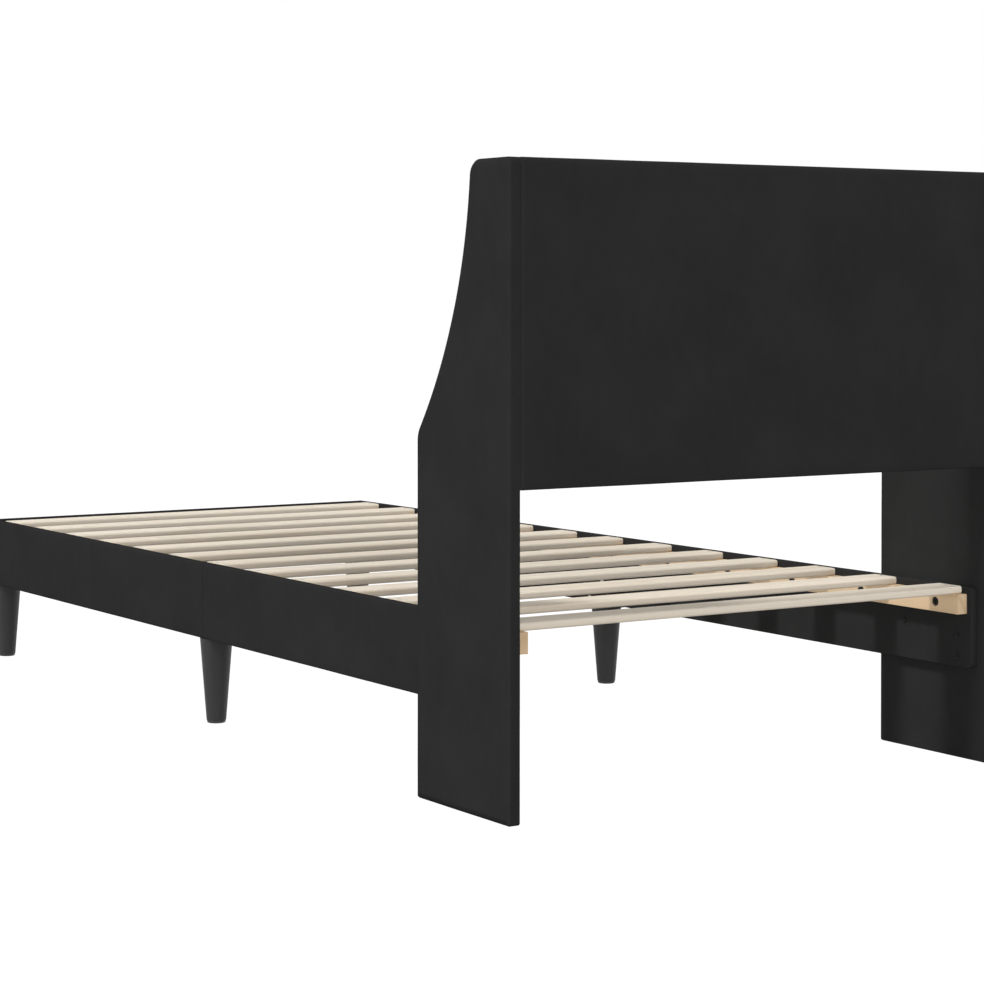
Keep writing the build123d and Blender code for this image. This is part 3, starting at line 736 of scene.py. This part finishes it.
def screw_pattern(profile, recess_radius, recess_depth):
    """A screw standing on its tip along +Z, as points and faces, with a cross recess on top.

    The profile runs from the tip to the rim of the head's top, as (radius, height) pairs."""
    screw = bmesh.new()
    rings = []
    for radius, height in profile:
        angles = [2 * math.pi * step / SCREW_SIDES for step in range(SCREW_SIDES)]
        rings.append([screw.verts.new((radius * math.cos(a), radius * math.sin(a), height)) for a in angles])
    screw.faces.new(rings[0])
    for first, second in zip(rings, rings[1:]):
        bridge(screw, first, second)
    top = profile[-1][1]
    cross = []
    for quarter in range(4):
        turn = Matrix.Rotation(math.pi / 2 * quarter, 2)
        cross += [turn @ Vector(point) * recess_radius for point in reversed(CROSS_POINTS)]
    mouth = [screw.verts.new((*point, top)) for point in cross]
    floor = [screw.verts.new((*(point * CROSS_TAPER), top - recess_depth)) for point in cross]
    bridge(screw, mouth, floor)
    screw.faces.new(floor)
    edges = [screw.edges.get((ring[i - 1], ring[i])) for ring in (rings[-1], mouth) for i in range(len(ring))]
    bmesh.ops.triangle_fill(screw, edges=edges, use_beauty=True)
    screw.verts.index_update()
    points = [vertex.co.copy() for vertex in screw.verts]
    faces = [[vertex.index for vertex in face.verts] for face in screw.faces]
    screw.free()
    return points, faces


def place_screws(name, pattern, spots, material, stands_for):
    """Sets a screw of one pattern at each spot, given as a matrix, in one piece."""
    points, faces = pattern
    group = bmesh.new()
    for spot in spots:
        verts = [group.verts.new(spot @ point) for point in points]
        for face in faces:
            group.faces.new([verts[index] for index in face])
    piece = new_piece(name, group, material, stands_for)
    piece.data.set_sharp_from_angle(angle=math.radians(35))


def aimed(head, way):
    """A matrix that sets a screw with its head's top at a spot and its head facing a way."""
    return Matrix.Translation(head) @ Vector(way).to_track_quat("Z", "Y").to_matrix().to_4x4()


CLEAT_HEAD_TOP = 0.4363
CLEAT_SCREW_HEIGHT = 0.2655
CLEAT_SCREW_PITCH = 0.187
CLEAT_SCREW_COUNT = 6
CLEAT_FIRST_SCREWS = ((0.950, -1), (-0.965, 1))
CLEAT_SCREW = [(0.0008, -0.0297), *threaded(-0.027, -0.0036, radius=0.003, pitch=0.002), (0.0029, -0.0032),
               (0.0073, -0.0032), (0.0075, -0.0028), (0.0075, -0.0006), (0.0070, 0.0)]
spots = []
for side in (-1, 1):
    for first, way in CLEAT_FIRST_SCREWS:
        for index in range(CLEAT_SCREW_COUNT):
            y = first + way * index * CLEAT_SCREW_PITCH
            spots.append(aimed((side * CLEAT_HEAD_TOP, y, CLEAT_SCREW_HEIGHT), (-side, 0, 0)))
cleat_screw = screw_pattern(CLEAT_SCREW, recess_radius=0.0032, recess_depth=0.0022)
place_screws("cleat_cross_screws", cleat_screw, spots, black_steel_finish, "cleat_screws")


# Slats: thirteen pale bare wooden boards with rounded long edges, laid across the cleats.
# Each is sanded, a little different in tone from its neighbours, and drilled at both ends.

SLAT_COUNT = 13
SLAT_PALE, SLAT_DARK = (0.705, 0.633, 0.531, 1), (0.565, 0.462, 0.345, 1)
slats = [f"slat_{number:02d}" for number in range(1, SLAT_COUNT + 1)]
for number, slat in enumerate(slats, start=41):
    sanded = new_board(f"sanded {slat}", number, ALONG_X, SLAT_PALE, SLAT_DARK, rings=0.28, fibre=0.45)
    finish_nodes(sanded, slat)


# Slat screws: a small countersunk screw with a cross recess through each end of a slat,
# its head level with the wood, into the cleat below.

SLAT_SCREW_IN = 0.009
SLAT_SCREW = [(0.0003, -0.0261), *threaded(-0.0235, -0.0040, radius=0.00175, pitch=0.0013), (0.0016, -0.0026),
              (0.0033, -0.0003), (0.0033, 0.0)]
spots = []
for slat in slats:
    low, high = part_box(slat)
    for x in (low.x + SLAT_SCREW_IN, high.x - SLAT_SCREW_IN):
        spots.append(aimed((x, (low.y + high.y) / 2, high.z), (0, 0, 1)))
slat_screw = screw_pattern(SLAT_SCREW, recess_radius=0.0019, recess_depth=0.0014)
place_screws("slat_cross_screws", slat_screw, spots, zinc_finish, "slat_screws")


# Blocks: short pine blocks glued and screwed inside the rails, one across the joint of the
# half rails on each side and one in each foot corner. The legs screw up into them. Their
# colour is painted shade: they are made nearly black for the deep shade under the slats.

# Painted shade: these near-black colours stand for the shade the blocks sit in under the slats.
SHADE_PAINTED_PALE, SHADE_PAINTED_DARK = (0.030, 0.022, 0.017, 1), (0.016, 0.012, 0.010, 1)
blocks = (("joint_block_left", ALONG_Y), ("joint_block_right", ALONG_Y), ("corner_block_left", ALONG_Z),
          ("corner_block_right", ALONG_Z))
for number, (wooden_block, grain) in enumerate(blocks, start=61):
    finish_nodes(new_board(f"painted_shade {wooden_block}", number, grain, SHADE_PAINTED_PALE, SHADE_PAINTED_DARK), wooden_block)


# Block screws: zinc-plated pan heads. Four hold each joint block, two go from a corner
# block into the side rail, and two more into the foot rail.

PAN_HEAD = 0.003
BLOCK_FACE = 0.416
CORNER_FACE = -0.977
SIDE_SCREWS_Y, SIDE_SCREWS_Z = (-0.028, 0.014, -0.991), (0.172, 0.212)
FOOT_SCREW_X, FOOT_SCREWS_Z = 0.430, (0.190, 0.230)
BLOCK_SCREW = [(0.0005, -0.053), *threaded(-0.050, -0.0036, radius=0.0025, pitch=0.0018), (0.0024, -0.0030),
               (0.0048, -0.0030), (0.0050, -0.0022), (0.0046, -0.0007), (0.0036, 0.0)]
spots = []
for side in (-1, 1):
    for y in SIDE_SCREWS_Y:
        for z in SIDE_SCREWS_Z:
            spots.append(aimed((side * (BLOCK_FACE - PAN_HEAD), y, z), (-side, 0, 0)))
    for z in FOOT_SCREWS_Z:
        spots.append(aimed((side * FOOT_SCREW_X, CORNER_FACE + PAN_HEAD, z), (0, 1, 0)))
block_screw = screw_pattern(BLOCK_SCREW, recess_radius=0.0026, recess_depth=0.0018)
place_screws("block_cross_screws", block_screw, spots, zinc_finish, "block_screws")


# Legs: round and tapered, moulded in black plastic with a satin face, each on a zinc-plated
# hanger bolt that screws up into its block.

SATIN = {"Colour": (0.024, 0.024, 0.024, 1), "Shine": 0.46, "Flow": (1.0, 1.0, 0.12)}
leg_finish = new_material("satin black plastic", moulding, SATIN, bump=0.12, depth=0.00008,
                          Specular_IOR_Level=0.22)
finish_nodes(leg_finish, "leg_left_middle", "leg_left_foot", "leg_right_middle", "leg_right_foot")
finish_nodes(zinc_finish, "leg_studs")


# Leg glides: hard plastic discs plugged into the legs' feet, a little narrower than the
# leg, so a thin line shows above the floor.

finish_nodes(glide_finish, "leg_glides")


# Floor and backdrop: one plain white sheet. It glows so brightly to the camera that the pale
# shadow it takes from the bed is lost in the white, and it throws plain light back up at it.

FLOOR_HALF = 14.0
FLOOR_COLOUR = (0.35, 0.35, 0.35, 1)
FLOOR_GLOW = 1.17
GLOW_SHARE = 0.86

floor_mesh = bmesh.new()
bmesh.ops.create_grid(floor_mesh, x_segments=8, y_segments=8, size=FLOOR_HALF)
floor_data = bpy.data.meshes.new("studio_floor")
floor_mesh.to_mesh(floor_data)
floor_mesh.free()
floor = bpy.data.objects.new("studio_floor", floor_data)
bpy.context.scene.collection.objects.link(floor)

floor_material = bpy.data.materials.new("white studio floor")
floor_material.use_nodes = True
floor_tree = floor_material.node_tree
floor_surface = floor_tree.nodes["Principled BSDF"]
floor_surface.inputs["Base Color"].default_value = FLOOR_COLOUR
floor_surface.inputs["Roughness"].default_value = 0.9
floor_surface.inputs["Specular IOR Level"].default_value = 0.0
rays = shader_node(floor_tree, "LightPath").outputs
seen = reckon(floor_tree, "MAXIMUM", rays["Is Camera Ray"], rays["Is Glossy Ray"])
seen = reckon(floor_tree, "MAXIMUM", seen, rays["Is Transmission Ray"])
glow = shader_node(floor_tree, "Emission", {"Color": (1, 1, 1, 1), "Strength": FLOOR_GLOW})
glow_share = reckon(floor_tree, "MULTIPLY", seen, GLOW_SHARE)
both = shader_node(floor_tree, "MixShader", {0: glow_share, 1: floor_surface.outputs[0], 2: glow.outputs[0]})
feed(floor_tree, floor_tree.nodes["Material Output"].inputs["Surface"], both.outputs[0])
floor_data.materials.append(floor_material)


# Light and camera: an even white sky, a key lamp high on the bed's right that throws the
# slats' shadows on the far rail, a broad low lamp from each end, and a low fill without a
# shadow on each side. The camera stands behind the headboard and looks along the bed.

SKY = 0.2
SKY_SEEN = 1.0
LAMPS = (    # name, strength, breadth, height and turn in degrees, and whether it casts a shadow
    ("key lamp", 2.4, 9.0, 55.0, 2.0, True),
    ("head lamp", 2.25, 50.0, 12.0, 90.0, True),
    ("foot lamp", 1.6, 50.0, 12.0, -90.0, True),
    ("right fill", 1.15, 20.0, 10.0, 0.0, False),
    ("left fill", 1.15, 20.0, 10.0, 180.0, False),
)

world = bpy.data.worlds.new("white studio")
bpy.context.scene.world = world
world.use_nodes = True
sky_tree = world.node_tree
rays = shader_node(sky_tree, "LightPath").outputs
seen = reckon(sky_tree, "MAXIMUM", rays["Is Camera Ray"], rays["Is Transmission Ray"])
sky_light = sky_tree.nodes["Background"]
sky_light.inputs["Color"].default_value = (1, 1, 1, 1)
feed(sky_tree, sky_light.inputs["Strength"], vary(sky_tree, seen, SKY, SKY_SEEN - SKY))

for lamp_name, strength, breadth, height, turn, casts_shadow in LAMPS:
    lamp_data = bpy.data.lights.new(lamp_name, "SUN")
    lamp_data.energy = strength
    lamp_data.angle = math.radians(breadth)
    lamp_data.use_shadow = casts_shadow
    lamp = bpy.data.objects.new(lamp_name, lamp_data)
    lamp.rotation_euler = (0, math.radians(90 - height), math.radians(turn))
    bpy.context.scene.collection.objects.link(lamp)

camera_data = bpy.data.cameras.new("camera")
camera_data.sensor_width = 36.0
camera_data.lens = 92.087
camera_data.shift_x, camera_data.shift_y = 0.06486, -0.15997
camera_data.clip_end = 100.0
camera = bpy.data.objects.new("camera", camera_data)
camera.location = (2.54368, 4.11596, 0.79245)
camera.rotation_euler = (math.radians(89), 0, math.radians(148.156))
bpy.context.scene.collection.objects.link(camera)
bpy.context.scene.camera = camera
bpy.context.scene.view_settings.view_transform = "Standard"
